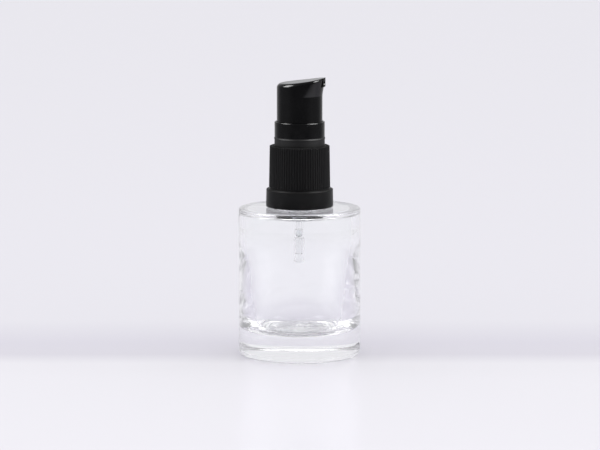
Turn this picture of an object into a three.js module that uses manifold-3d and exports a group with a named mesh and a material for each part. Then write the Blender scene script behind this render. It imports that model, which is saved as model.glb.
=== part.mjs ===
// A 30 ml foundation bottle: a heavy-based clear glass cylinder with a black screw-on treatment pump.
// Millimetres, +Z up. The origin is the middle of the base, on the surface that the bottle stands on.
// The nozzle points along +X. Every piece that would come apart on a bench is a mesh of its own.

import * as THREE from "three";
import { mergeVertices } from "three/addons/utils/BufferGeometryUtils.js";
import Module from "manifold-3d";

const wasm = await Module();
wasm.setup();

// ---- Driving dimensions ----

const bottle = {
  radius: 20.5,
  shoulderZ: 49.95, // the flat top of the shoulder, round the neck
  heelRound: 1.8,
  shoulderRound: 0.8,
  pushUp: 0.7, // how far the middle of the base is raised inside its bearing ring
  bearingInner: 14.5,
  pushUpFlat: 12.5,
  wallTop: 18.1,
  ceilingZ: 48.6,
  ceilingRound: 1,
  neckFillet: 0.6,
  mouthFlare: 1.3, // where the neck's bore opens into the body
};

// The inside of the body as [radius, height], from the top of its wall down to the middle of its domed floor.
const cavity = [
  [bottle.wallTop, 44],
  [18.3, 38],
  [17.35, 31],
  [16.35, 24],
  [15.5, 18],
  [14.9, 13],
  [13.6, 9.4],
  [11.2, 8],
  [7.5, 8.2],
  [0, 8.8],
];

const neck = {
  root: 7.75,
  bore: 5.4,
  rimZ: 67.4,
  edge: 0.5,
};

const thread = {
  pitch: 3.175, // eight turns to the inch
  embed: 0.25, // how deep a ridge's foot is sunk in the wall that carries it
  stepsPerTurn: 24,
  fadeSteps: 4,
};

const glassRidge = {
  foot: neck.root,
  crest: 8.75,
  footWidth: 1.7,
  crestWidth: 0.9,
  startZ: 59.8,
  startTurn: 0,
  turns: 1.5,
};

const closure = {
  bottomZ: 50.4,
  bandTopZ: 56.35,
  band: 11.18,
  bandBottom: 11.3,
  bandEdge: 0.25,
  groove: 10, // the plain ring between the band and the ribs
  grooveTopZ: 57.1,
  ribZ: 56.95,
  ribFoot: 10.28,
  ribHead: 10.05,
  ribDepth: 0.26,
  ribs: 72,
  ribTopZ: 70.8,
  topZ: 70.9,
  topEdge: 9.75,
  recess: 8.75, // the shallow seat round the chaplet's foot
  recessDepth: 0.15,
  panel: 1.3,
  bore: 9,
  hole: 7.1,
};

const closureRidge = {
  foot: closure.bore,
  crest: 8.1,
  footWidth: 1.3,
  crestWidth: 0.7,
  startZ: glassRidge.startZ - 1.45, // under the glass ridge, so that it pulls the closure down
  startTurn: -0.05,
  turns: 1.25,
};

const chaplet = {
  radius: 8.44,
  wall: 0.6,
  bottomZ: 70.85,
  topZ: 79.1,
  floor: 1.1,
  lip: 0.35,
  ridge: 8.6, // the ring near its foot, which the wall leans out to meet
  ridgeZ: 73.4,
  leanZ: 74.15,
  sleeveOuter: 6.9,
  sleeveInner: 5.8,
  sleeveZ: 69.5,
};

const housing = {
  flange: 7.7,
  flangeZ: 68.3,
  flangeThick: 1.1,
  collar: 5.75,
  collarBore: 4.85,
  collarBoreZ: 68,
  topZ: 74.8,
  plug: 5.2,
  plugZ: 66.4,
  chamber: 4.5,
  chamberBore: 3.7,
  chamberZ: 48.1,
  chamberChamfer: [0.6, 1],
  floorZ: 47.9,
  floorHole: 2.05,
  funnelDepth: 1.5,
  cage: 1.58,
  cageTopZ: 45.8,
  nipple: 1.3,
  nippleBore: 0.7,
  nippleTopZ: 40.2,
  nippleZ: 33.2,
  pocket: 1.15,
};

const head = {
  radius: 7.66,
  skirtZ: 76.4,
  flareZ: 87.8, // where the side starts to lean out towards the nozzle
  flare: 0.8,
  flareFrom: 78, // degrees round from the nozzle where that lean begins
  flareFull: 45,
  topZ: 92.5, // the top at the axis, before its edge is rounded
  slope: 0.12,
  dish: 0.005,
  edge: 1.45, // the rounding of the top edge, which shrinks by edgeLoss at the nozzle
  edgeLoss: 1,
  cavity: 6.9,
  cavityZ: 89,
  boss: 3.3,
  bossZ: 80.4,
  socket: 2.2,
  socketZ: 86.5,
};

const nozzle = {
  reach: 8.5,
  z: 92.2,
  beak: { width: 3.2, bottomZ: 90.7, edge: 0.2, root: 5 },
  mouth: { width: 2.3, height: 1.9, depth: 1.4 },
  duct: 0.7,
  ductZ: 90.9,
};

const piston = {
  z: 58.9,
  height: 3.55,
  radius: 3.65,
  bore: 2.15,
  waist: 3.2,
  lip: 0.8,
  taper: 0.5,
  chamfer: 0.2,
};

const stem = {
  radius: 2.1,
  bore: 1.2,
  bottomZ: 58.95,
  topZ: 86.3,
  topEdge: 0.3,
  collar: 2.9,
  collarZ: 63.2,
  collarThick: 0.85,
  port: { width: 0.7, height: 1.4 },
};

const seat = {
  head: 3,
  headZ: 57.65,
  rim: 0.5,
  headThick: 1.1,
  shoulder: 0.6,
  pin: 1.1,
  pinZ: 64.5,
  pinPoint: 0.4,
  guide: 2.1,
  guideZ: 56,
  guideEdge: 0.3,
};

const spring = {
  radius: 2.75,
  wire: 0.25, // the wire's radius
  wireSides: 6,
  bottomZ: 47.95,
  topZ: 57.6,
  turns: 5.5,
  flatTurns: 0.5, // at each end
  stepsPerTurn: 14,
};

const ball = { radius: 1, z: 41.6 };
const ballSeat = { topDrop: 0.16, bottomDrop: 0.76 };
const ballBead = { radius: 0.88, rise: 1.3, slope: 0.3 };
const dipTube = { radius: 1.85, bore: 1.35, topZ: 39.9, bottomZ: 30.3 };
const gasket = { inner: 5.5, outer: 7.6, gap: 0.05 };

const turret = {
  sleeve: 3.6,
  sleeveZ: 64.35,
  body: 4.75,
  flange: 5.6,
  flangeThick: 0.9,
  bore: 2.25,
  gap: 0.1,
};

const fine = 48;
const coarse = 24;
const beyond = 1; // how far a cutter runs past the surface that it opens

// ---- Materials ----

const clearGlass = new THREE.MeshStandardMaterial({
  color: 0xe9f0ee,
  roughness: 0.02,
  transparent: true,
  opacity: 0.35,
});
const glossBlack = new THREE.MeshStandardMaterial({ color: 0x0b0b0d, roughness: 0.22 });
const satinBlack = new THREE.MeshStandardMaterial({ color: 0x121214, roughness: 0.48 });
const naturalPlastic = new THREE.MeshStandardMaterial({ color: 0xe6e8ea, roughness: 0.3 });
const whitePlastic = new THREE.MeshStandardMaterial({ color: 0xf2f2ef, roughness: 0.45 });
const springSteel = new THREE.MeshStandardMaterial({ color: 0xb9bcc0, roughness: 0.25, metalness: 1 });

// ---- Shapes ----

// A closed outline of [radius, height] points turned about Z. It runs up the outside and down the inside.
function turned(outline, segments = coarse) {
  const points = outline.map(([r, z]) => new THREE.Vector2(r, z));
  const onAxis = points[0].x === 0 && points[points.length - 1].x === 0;
  if (!onAxis) points.push(points[0].clone());
  return new THREE.LatheGeometry(points, segments).rotateX(Math.PI / 2);
}

// A plain tube from z0 up to z1.
function tube(inner, outer, z0, z1, segments = coarse) {
  return turned([[inner, z0], [outer, z0], [outer, z1], [inner, z1]], segments);
}

// A plain disc or rod from z0 up to z1.
function rod(radius, z0, z1, segments = coarse) {
  return turned([[0, z0], [radius, z0], [radius, z1], [0, z1]], segments);
}

// Points on a circular arc about [r, z], from one angle to another in degrees.
function arc(r, z, radius, from, to, steps = 3) {
  return Array.from({ length: steps + 1 }, (_, i) => {
    const angle = THREE.MathUtils.degToRad(from + ((to - from) * i) / steps);
    return [r + radius * Math.cos(angle), z + radius * Math.sin(angle)];
  });
}

const polar = (radius, angle, z) => new THREE.Vector3(radius * Math.cos(angle), radius * Math.sin(angle), z);

function solid(geometry) {
  const bare = geometry.clone();
  bare.deleteAttribute("normal");
  bare.deleteAttribute("uv");
  const merged = mergeVertices(bare, 1e-4);
  return new wasm.Manifold(
    new wasm.Mesh({
      numProp: 3,
      vertProperties: merged.attributes.position.array,
      triVerts: new Uint32Array(merged.index.array),
    }),
  );
}

function geometryOf(made) {
  const { vertProperties, triVerts } = made.getMesh();
  const geometry = new THREE.BufferGeometry();
  geometry.setAttribute("position", new THREE.BufferAttribute(vertProperties, 3));
  geometry.setIndex(new THREE.BufferAttribute(triVerts, 1));
  geometry.computeVertexNormals();
  return geometry;
}

// Loops of points, all of one length, skinned into a closed surface with a cap at each end.
// The loops follow each other upwards and run anticlockwise seen from above.
function skinned(loops) {
  const count = loops[0].length;
  const positions = loops.flat();
  const triangles = [];
  for (let k = 0; k < loops.length - 1; k++) {
    for (let i = 0; i < count; i++) {
      const [low, high, next] = [k * count, (k + 1) * count, (i + 1) % count];
      triangles.push(low + i, low + next, high + next, low + i, high + next, high + i);
    }
  }
  [0, loops.length - 1].forEach((k, end) => {
    const middle = loops[k].reduce((sum, point) => sum.add(point), new THREE.Vector3());
    positions.push(middle.divideScalar(count));
    for (let i = 0; i < count; i++) {
      const edge = [k * count + i, k * count + ((i + 1) % count)];
      triangles.push(positions.length - 1, ...(end ? edge : edge.reverse()));
    }
  });
  return new THREE.BufferGeometry().setFromPoints(positions).setIndex(triangles);
}

// A thread's ridge: a trapezoid carried up a right-hand helix, fading to nothing at both ends.
// Its crest is outside its foot on a neck and inside it in a closure.
function helicalRidge({ foot, crest, footWidth, crestWidth, startZ, startTurn, turns }) {
  const steps = Math.round(turns * thread.stepsPerTurn);
  const outward = Math.sign(crest - foot);
  const sunk = foot - thread.embed * outward;
  const loops = Array.from({ length: steps + 1 }, (_, i) => {
    const turn = startTurn + i / thread.stepsPerTurn;
    const share = Math.min(1, (i + 0.5) / thread.fadeSteps, (steps - i + 0.5) / thread.fadeSteps);
    const tip = foot + (crest - foot) * share;
    const section = [
      [sunk, -footWidth / 2],
      [tip, -crestWidth / 2],
      [tip, crestWidth / 2],
      [sunk, footWidth / 2],
    ];
    if (outward > 0) section.reverse();
    return section.map(([r, dz]) => polar(r, turn * 2 * Math.PI, startZ + thread.pitch * turn + dz));
  });
  return solid(skinned(loops));
}

const group = new THREE.Group();

function addPiece(name, shape, material) {
  const mesh = new THREE.Mesh(shape.isBufferGeometry ? shape : geometryOf(shape), material);
  mesh.name = name;
  group.add(mesh);
}

// ---- The bottle ----

function makeBottle() {
  const { radius, heelRound, shoulderRound, shoulderZ, neckFillet } = bottle;
  const { wallTop, ceilingZ, ceilingRound, mouthFlare } = bottle;
  const wallAndFloor = new THREE.SplineCurve(cavity.map(([r, z]) => new THREE.Vector2(r, z)));
  const body = turned(
    [
      [0, bottle.pushUp],
      [bottle.pushUpFlat, bottle.pushUp],
      [bottle.bearingInner, 0],
      ...arc(radius - heelRound, heelRound, heelRound, -90, 0),
      ...arc(radius - shoulderRound, shoulderZ - shoulderRound, shoulderRound, 0, 90),
      [neck.root + neckFillet, shoulderZ],
      [neck.root, shoulderZ + neckFillet],
      [neck.root, neck.rimZ - neck.edge],
      [neck.root - neck.edge, neck.rimZ],
      [neck.bore + neck.edge, neck.rimZ],
      [neck.bore, neck.rimZ - neck.edge],
      [neck.bore, ceilingZ + mouthFlare],
      [neck.bore + mouthFlare, ceilingZ],
      ...arc(wallTop - ceilingRound, ceilingZ - ceilingRound, ceilingRound, 90, 0),
      ...wallAndFloor.getPoints(2 * cavity.length).map(({ x, y }) => [x, y]),
    ],
    fine,
  );
  return solid(body).add(helicalRidge(glassRidge));
}

// ---- The pieces that hold the pump on ----

// The ribbed skirt of the closure: a tapered prism whose outline is a ring of small teeth.
function ribbedSkirt() {
  const loopAt = (radius, z) =>
    Array.from({ length: 2 * closure.ribs }, (_, i) => {
      const valley = i % 2 ? closure.ribDepth : 0;
      return polar(radius - valley, (i * Math.PI) / closure.ribs, z);
    });
  const { ribFoot, ribHead, ribZ, ribTopZ } = closure;
  return solid(skinned([loopAt(ribFoot, ribZ), loopAt(ribHead, ribTopZ)]));
}

function makeClosure() {
  const { bottomZ, bandTopZ, bandEdge, band, groove, grooveTopZ, topZ, topEdge } = closure;
  const { recess, recessDepth, panel, bore, hole } = closure;
  const outside = turned(
    [
      [0, bottomZ],
      [closure.bandBottom, bottomZ],
      [band, bandTopZ - bandEdge],
      [band - bandEdge, bandTopZ],
      [groove, bandTopZ],
      [groove, grooveTopZ],
      [topEdge, grooveTopZ],
      [topEdge, topZ],
      [recess, topZ],
      [recess, topZ - recessDepth],
      [0, topZ - recessDepth],
    ],
    fine,
  );
  const inside = turned(
    [
      [0, bottomZ - beyond],
      [bore, bottomZ - beyond],
      [bore, topZ - panel],
      [hole, topZ - panel],
      [hole, topZ + beyond],
      [0, topZ + beyond],
    ],
    fine,
  );
  return solid(outside).add(ribbedSkirt()).subtract(solid(inside)).add(helicalRidge(closureRidge));
}

function makeChaplet() {
  const { radius, wall, bottomZ, topZ, floor, lip, sleeveOuter, sleeveInner, sleeveZ } = chaplet;
  const { ridge, ridgeZ, leanZ } = chaplet;
  return turned(
    [
      [sleeveInner, sleeveZ],
      [sleeveOuter, sleeveZ],
      [sleeveOuter, bottomZ],
      [radius, bottomZ],
      [radius, ridgeZ - (ridge - radius)],
      [ridge, ridgeZ],
      [radius, leanZ],
      [radius, topZ - lip],
      [radius - lip, topZ],
      [radius - wall, topZ],
      [radius - wall, bottomZ + floor],
      [sleeveInner, bottomZ + floor],
    ],
    fine,
  );
}

function makeGasket() {
  return tube(gasket.inner, gasket.outer, neck.rimZ + gasket.gap, housing.flangeZ - gasket.gap, fine);
}

// Its lower end holds the ball: a cone to sit on, a pocket to rise in, and a bead that keeps it there.
function makeHousing() {
  const h = housing;
  const [chamferWidth, chamferHeight] = h.chamberChamfer;
  const flangeTop = h.flangeZ + h.flangeThick;
  const beadZ = ball.z + ballBead.rise;
  return turned([
    [h.nippleBore, h.nippleZ],
    [h.nipple, h.nippleZ],
    [h.nipple, h.nippleTopZ],
    [h.cage, h.nippleTopZ],
    [h.cage, h.cageTopZ],
    [h.chamber - chamferWidth, h.chamberZ - chamferHeight],
    [h.chamber, h.chamberZ],
    [h.chamber, h.plugZ],
    [h.plug, h.plugZ],
    [h.plug, h.flangeZ],
    [h.flange, h.flangeZ],
    [h.flange, flangeTop],
    [h.collar, flangeTop],
    [h.collar, h.topZ],
    [h.collarBore, h.topZ],
    [h.collarBore, h.collarBoreZ],
    [h.chamberBore, h.collarBoreZ],
    [h.chamberBore, h.floorZ],
    [h.floorHole, h.floorZ],
    [ballBead.radius, h.floorZ - h.funnelDepth],
    [ballBead.radius, beadZ],
    [h.pocket, beadZ - ballBead.slope],
    [h.pocket, ball.z - ballSeat.topDrop],
    [h.nippleBore, ball.z - ballSeat.bottomDrop],
  ]);
}

function makeTurret() {
  const { sleeve, sleeveZ, body, flange, flangeThick, bore, gap } = turret;
  const bodyZ = housing.collarBoreZ + gap;
  const flangeZ = housing.topZ + gap;
  return turned([
    [bore, sleeveZ],
    [sleeve, sleeveZ],
    [sleeve, bodyZ],
    [body, bodyZ],
    [body, flangeZ],
    [flange, flangeZ],
    [flange, flangeZ + flangeThick],
    [bore, flangeZ + flangeThick],
  ]);
}

// ---- The pieces that pump ----

// The piston has a thin sealing lip at each end, with a groove between the lip and the waist.
function makePiston() {
  const { z, height, radius, bore, waist, lip, taper, chamfer } = piston;
  const top = z + height;
  return turned([
    [bore, z + chamfer],
    [bore + taper, z],
    [waist, z + lip],
    [radius, z],
    [radius, z + lip],
    [waist, z + lip + taper],
    [waist, top - lip - taper],
    [radius, top - lip],
    [radius, top],
    [waist, top - lip],
    [bore + taper, top],
    [bore, top - chamfer],
  ]);
}

function makeStem() {
  const { radius, bore, bottomZ, topZ, topEdge, collar, collarZ, collarThick, port } = stem;
  const pipe = turned([
    [bore, bottomZ],
    [radius, bottomZ],
    [radius, collarZ],
    [collar, collarZ],
    [collar, collarZ + collarThick],
    [radius, collarZ + collarThick],
    [radius, topZ - topEdge],
    [radius - topEdge, topZ],
    [bore, topZ],
  ]);
  const crossSlots = [0, Math.PI / 2].map((angle) => {
    const cutter = new THREE.BoxGeometry(3 * radius, port.width, 2 * port.height);
    return solid(cutter.rotateZ(angle).translate(0, 0, bottomZ));
  });
  return crossSlots.reduce((made, slot) => made.subtract(slot), solid(pipe));
}

function makePistonSeat() {
  const s = seat;
  return turned([
    [0, s.guideZ],
    [s.guide - s.guideEdge, s.guideZ],
    [s.guide, s.guideZ + s.guideEdge],
    [s.guide, s.headZ],
    [s.head, s.headZ],
    [s.head, s.headZ + s.rim],
    [s.pin + s.shoulder, s.headZ + s.headThick],
    [s.pin, s.headZ + s.headThick],
    [s.pin, s.pinZ - s.pinPoint],
    [s.pin - s.pinPoint, s.pinZ],
    [0, s.pinZ],
  ]);
}

// The middle line of a compression spring whose end turns lie flat.
class SpringLine extends THREE.Curve {
  getPoint(t) {
    const { radius, wire, bottomZ, topZ, turns, flatTurns } = spring;
    const flat = flatTurns / turns;
    const share = THREE.MathUtils.clamp((t - flat) / (1 - 2 * flat), 0, 1);
    return polar(radius, t * turns * 2 * Math.PI, THREE.MathUtils.lerp(bottomZ + wire, topZ - wire, share));
  }
}

function makeSpring() {
  const corners = Array.from({ length: spring.wireSides }, (_, i) => {
    const angle = (i * 2 * Math.PI) / spring.wireSides;
    return new THREE.Vector2(Math.cos(angle), Math.sin(angle)).multiplyScalar(spring.wire);
  });
  return new THREE.ExtrudeGeometry(new THREE.Shape(corners), {
    steps: spring.turns * spring.stepsPerTurn,
    bevelEnabled: false,
    extrudePath: new SpringLine(),
  });
}

// ---- The head ----

const topAt = (x) => head.topZ + head.slope * x + head.dish * x * x;

// The head's outside: a cylinder under a sloping, slightly dished top with a rounded edge.
// Its upper side leans out towards the nozzle.
// front is 1 at the nozzle and 0 from the sides backwards.
// lean is 1 over the front of the head and fades to 0 towards its sides.
function headOutside() {
  const edgeSteps = 4;
  const capRadius = head.radius / 3;
  const leanStart = Math.cos(THREE.MathUtils.degToRad(head.flareFrom));
  const leanEnd = Math.cos(THREE.MathUtils.degToRad(head.flareFull));
  const loop = (place) =>
    Array.from({ length: fine }, (_, i) => {
      const angle = (i * 2 * Math.PI) / fine;
      const front = Math.max(0, Math.cos(angle));
      const lean = THREE.MathUtils.smoothstep(front, leanStart, leanEnd);
      return place(angle, lean, head.edge - head.edgeLoss * front ** 2);
    });
  const brimRadius = (lean) => head.radius + head.flare * lean;
  const flareFoot = loop((angle) => polar(head.radius, angle, head.flareZ));
  const brim = loop((angle, lean, edge) => {
    const r = brimRadius(lean);
    return polar(r, angle, topAt(r * Math.cos(angle)) - edge);
  });
  const roundedEdge = arc(0, 0, 1, 0, 90, edgeSteps).slice(1);
  const edges = roundedEdge.map(([across, up]) =>
    loop((angle, lean, edge) => {
      const r = brimRadius(lean) - edge * (1 - across);
      return polar(r, angle, topAt(r * Math.cos(angle)) - edge * (1 - up));
    }),
  );
  const skirt = loop((angle) => polar(head.radius, angle, head.skirtZ));
  const middle = loop((angle) => polar(capRadius, angle, topAt(capRadius * Math.cos(angle))));
  return solid(skinned([skirt, flareFoot, brim, ...edges, middle]));
}

// The end of the nozzle: a block whose top follows the head's top and whose end is flat and upright.
function makeBeak() {
  const { width, bottomZ, edge, root } = nozzle.beak;
  const { reach } = nozzle;
  const profile = new THREE.Shape([
    new THREE.Vector2(root, bottomZ),
    new THREE.Vector2(reach - edge, bottomZ),
    new THREE.Vector2(reach, bottomZ + edge),
    new THREE.Vector2(reach, topAt(reach) - edge),
    new THREE.Vector2(reach - edge, topAt(reach - edge)),
    new THREE.Vector2(root, topAt(root)),
  ]);
  const block = new THREE.ExtrudeGeometry(profile, { depth: width, bevelEnabled: false });
  return solid(block.rotateX(Math.PI / 2).translate(0, width / 2, 0));
}

// A bar along X from x0 to x1 whose section is a slot of this width and height with round ends.
function bar(x0, x1, width, height, z) {
  const r = height / 2;
  const flat = width / 2 - r;
  const section = new THREE.Shape();
  section.absarc(flat, 0, r, -Math.PI / 2, Math.PI / 2);
  section.absarc(-flat, 0, r, Math.PI / 2, 1.5 * Math.PI);
  const made = new THREE.ExtrudeGeometry(section, { depth: x1 - x0, bevelEnabled: false, curveSegments: 6 });
  return solid(made.rotateX(Math.PI / 2).rotateZ(Math.PI / 2).translate(x0, 0, z));
}

function makeHead() {
  const { boss, bossZ, cavity, cavityZ, skirtZ, socket, socketZ } = head;
  const { reach, z, mouth, duct, ductZ } = nozzle;
  const mouthFloor = reach - mouth.depth;
  const cavityRound = solid(tube(boss, cavity, skirtZ - beyond, cavityZ, fine));
  const belowBoss = solid(rod(cavity, skirtZ - beyond, bossZ, fine));
  return headOutside()
    .subtract(cavityRound)
    .subtract(belowBoss)
    .add(makeBeak())
    .subtract(solid(rod(socket, bossZ - beyond, socketZ)))
    .subtract(solid(rod(duct, socketZ - beyond, ductZ)))
    .subtract(bar(-duct, mouthFloor + duct / 2, 2 * duct, 2 * duct, ductZ))
    .subtract(bar(mouthFloor, reach + beyond, mouth.width, mouth.height, z));
}

function makeBall() {
  return new THREE.SphereGeometry(ball.radius, 16, 10).rotateX(Math.PI / 2).translate(0, 0, ball.z);
}

// ---- The assembly ----

addPiece("glass_bottle", makeBottle(), clearGlass);
addPiece("closure", makeClosure(), satinBlack);
addPiece("chaplet", makeChaplet(), glossBlack);
addPiece("actuator_head", makeHead(), glossBlack);
addPiece("neck_gasket", makeGasket(), whitePlastic);
addPiece("pump_housing", makeHousing(), naturalPlastic);
addPiece("turret_ring", makeTurret(), whitePlastic);
addPiece("stem", makeStem(), naturalPlastic);
addPiece("piston", makePiston(), whitePlastic);
addPiece("piston_seat", makePistonSeat(), naturalPlastic);
addPiece("return_spring", makeSpring(), springSteel);
addPiece("inlet_ball", makeBall(), clearGlass);
addPiece("dip_tube", tube(dipTube.bore, dipTube.radius, dipTube.bottomZ, dipTube.topZ), naturalPlastic);

export default group;
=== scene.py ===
import math
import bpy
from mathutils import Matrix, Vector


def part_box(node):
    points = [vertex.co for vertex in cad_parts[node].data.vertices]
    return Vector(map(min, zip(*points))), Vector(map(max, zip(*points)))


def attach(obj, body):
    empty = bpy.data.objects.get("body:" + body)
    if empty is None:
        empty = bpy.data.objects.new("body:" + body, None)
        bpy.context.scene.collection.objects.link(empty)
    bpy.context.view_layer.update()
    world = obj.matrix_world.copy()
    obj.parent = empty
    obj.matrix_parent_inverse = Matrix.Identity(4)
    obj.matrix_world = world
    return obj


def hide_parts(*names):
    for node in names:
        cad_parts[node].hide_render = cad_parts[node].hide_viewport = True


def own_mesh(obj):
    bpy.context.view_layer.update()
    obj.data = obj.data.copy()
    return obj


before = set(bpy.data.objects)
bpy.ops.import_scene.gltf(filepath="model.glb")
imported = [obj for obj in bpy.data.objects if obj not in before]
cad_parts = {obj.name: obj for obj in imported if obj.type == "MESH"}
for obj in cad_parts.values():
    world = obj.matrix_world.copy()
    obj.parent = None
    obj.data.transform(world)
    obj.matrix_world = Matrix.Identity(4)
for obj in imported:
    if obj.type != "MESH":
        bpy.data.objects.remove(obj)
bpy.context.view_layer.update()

from types import SimpleNamespace

import bpy
from mathutils import Vector

# Sizes are in millimetres until a mesh is made. MM turns them into Blender's metres.
MM = 0.001
SEGMENTS = 192
INNER_SEGMENTS = 96
ARC_STEP = math.radians(9)
HOLD = 0.04  # a row of points this far from a rounded corner keeps the straight stretch beside it straight
ON_AXIS = 1e-6
CLOSE = 0.01  # a point is taken to be on a surface when it is closer than this
POLISH = 0.36  # how much rougher moulded plastic is where it isn't polished
FINISH_EDGE = 0.03  # half the width over which one finish goes over to another


def radius_of(node):
    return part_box(node)[1].y / MM


def bottom_of(node):
    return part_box(node)[0].z / MM


def top_of(node):
    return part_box(node)[1].z / MM


bottle = SimpleNamespace(
    radius=radius_of("glass_bottle"),
    rim_z=top_of("glass_bottle"),
    rim_edge=0.5,
    shoulder_z=49.95,
    shoulder_round=0.8,
    heel_round=1.8,
    push_up=0.7,
    push_up_flat=12.5,
    bearing_inner=14.5,
    ceiling_z=48.6,
    ceiling_round=1.0,
    inside=19.0,  # what lies within this radius and above this height, up to the ceiling, is the inside wall
    inside_from_z=7.2,
    neck=7.75,
    neck_bore=5.4,
    neck_fillet=0.6,
    mouth_flare=1.3,
)
# The inside of the body as (radius, height), from the top of its wall down to the middle of its domed floor.
CAVITY = (
    (18.1, 44),
    (18.3, 38),
    (17.35, 31),
    (16.35, 24),
    (15.5, 18),
    (14.9, 13),
    (13.6, 9.4),
    (11.2, 8),
    (7.5, 8.2),
    (0, 8.8),
)
CAVITY_STEPS = 8  # between each pair of those points
# The inside wall is moved off centre by WALL_SHIFT, which leaves it thicker at the angle THICK_SIDE. Waves
# run round it, as (number, height, phase), and turn by WAVE_TWIST as they go up.
THICK_SIDE = math.radians(12)
WALL_SHIFT = 0.4
GLASS_WAVES = ((2, 0.04, 0.4), (3, 0.03, 2.1), (5, 0.015, 1.0), (8, 0.008, 2.9))
WAVE_TWIST = 0.11
WAVES_FROM, WAVES_FULL = 44, 12  # the heights between which the waves grow
WAVES_LEAST = 0.3  # what share of them there is above that
CALM = 9  # the radius inside which the waves and the shift die away towards the axis
# Waves round the heel and under the base, as (number, phase), and how deep they cut.
HEEL_WAVES = ((7, 0.3), (16, 1.7), (27, 0.9), (41, 2.6))
HEEL_RIPPLE = 0.18
# The ridges of the two threads. They run from the turn first to the turn last, and foot and crest are their
# widths. A ridge's height is negative where it stands inwards.
THREAD_PITCH = 3.175
THREAD_FADE = 0.12  # of a turn, at each end
THREAD_ROOM = 1  # above and below a ridge, where its cylinder has rows of points too
glass_ridge = SimpleNamespace(start_z=59.8, first=0, last=1.5, height=1.0, foot=1.7, crest=0.9)
closure_ridge = SimpleNamespace(start_z=58.35, first=-0.05, last=1.2, height=-0.9, foot=1.3, crest=0.7)

closure = SimpleNamespace(
    bottom_z=bottom_of("closure"),
    top_z=top_of("closure"),
    band_bottom=radius_of("closure"),
    band=11.18,
    band_top_z=56.35,
    groove=10.0,  # the plain ring between the band and the ribs
    rib_z=56.95,
    rib_foot=10.28,
    rib_head=10.05,
    rib_depth=0.26,
    rib_end_z=70.79,
    rib_slope=0.04,
    ribs=72,
    rib_flank=(0.2, 0.75),
    columns_per_rib=8,
    top_edge=9.75,
    recess=8.75,  # the shallow seat round the chaplet's foot
    recess_depth=0.15,
    panel=1.3,
    bore=9.0,
    hole=7.1,
)

chaplet = SimpleNamespace(
    top_z=top_of("chaplet"),
    sleeve_z=bottom_of("chaplet"),
    ridge=radius_of("chaplet"),
    radius=8.44,
    wall=0.6,
    bottom_z=70.85,
    floor=1.1,
    foot=8.47,
    lean_from_z=73.28,
    ridge_z=73.4,
    lean_z=73.78,
    lip=0.38,
    sleeve_outer=6.9,
    sleeve_inner=5.8,
)

head = SimpleNamespace(
    radius=radius_of("actuator_head"),
    skirt_z=bottom_of("actuator_head"),
    flare_z=87.8,  # where the side starts to lean out towards the nozzle
    flare=0.8,
    flare_from=81.0,  # degrees round from the nozzle where the lean begins, and where it is full
    flare_full=45.0,
    flare_narrows=10.0,  # degrees that both come closer to the nozzle by the top
    top_z=92.493,
    slope=0.12,
    dish=0.005,
    edge=1.45,  # the rounding of the top edge, which shrinks by edge_loss at the nozzle
    edge_loss=1.0,
    cavity=6.9,
    cavity_z=89.0,
    boss=3.3,
    boss_z=80.4,
    socket=2.2,
    socket_z=86.5,
    side_rows=60,  # close enough to round the underside of the beak
    edge_rows=10,
    top_rows=10,
    columns=288,
    crowding=0.6,  # how much closer the columns are at the nozzle
)
nozzle = SimpleNamespace(
    reach=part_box("actuator_head")[1].x / MM,
    half_width=1.6,
    bottom_z=90.7,
    root_edge=0.15,
    edge=0.2,
    z=92.2,
    mouth=(2.3, 1.9),
    depth=1.4,
    duct=0.7,
    duct_z=90.9,
    duct_length=2,
    sides=48,  # of the mouth and the duct
)

gasket = SimpleNamespace(inner=5.5, edge=0.1)
housing = SimpleNamespace(
    nipple=1.3,
    nipple_bore=0.7,
    nipple_top_z=40.2,
    cage=1.58,
    cage_top_z=45.8,
    pocket=1.15,
    pocket_z=41.44,
    pocket_top_z=42.6,
    seat_z=40.84,
    throat=0.88,
    throat_z=42.9,
    throat_top_z=46.4,
    chamber_foot=3.9,
    chamber_foot_z=47.1,
    chamber=4.5,
    chamber_z=48.1,
    chamber_bore=3.7,
    floor_z=47.9,
    floor_hole=2.05,
    plug=5.2,
    plug_z=66.4,
    flange_z=68.3,
    flange_top_z=69.4,
    collar=5.75,
    collar_bore=4.85,
    collar_bore_z=68.0,
    segments=128,
)
turret = SimpleNamespace(bore=2.25, sleeve=3.6, sleeve_top_z=68.1, body=4.75, flange=0.9)
dip_tube = SimpleNamespace(bore=1.35, edge=0.08)
piston = SimpleNamespace(
    bore=2.15,
    crown=2.65,
    waist=3.2,
    tip=3.62,
    radius=3.65,
    lip=0.8,
    lip_root=1.3,
    lip_edge=0.03,
    chamfer=0.2,
)
stem = SimpleNamespace(
    radius=2.1,
    bore=1.2,
    collar=2.9,
    collar_z=63.2,
    collar_top_z=64.05,
    slot_width=0.7,
    slot_height=1.4,
    slot_reach=3,
)
seat = SimpleNamespace(
    guide=2.1,
    head=3.0,
    head_z=57.65,
    rim_z=58.15,
    shoulder=1.7,
    shoulder_z=58.75,
    pin=1.1,
    pin_point=0.4,
)

spring = SimpleNamespace(
    radius=2.75,
    wire=0.25,
    bottom_z=bottom_of("return_spring"),
    top_z=top_of("return_spring"),
    turns=5.5,
    flat_turns=0.5,  # at each end
    stroke=4.2,
    sides=16,
    steps=288,
)
ball = SimpleNamespace(steps=32, segments=64)

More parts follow.
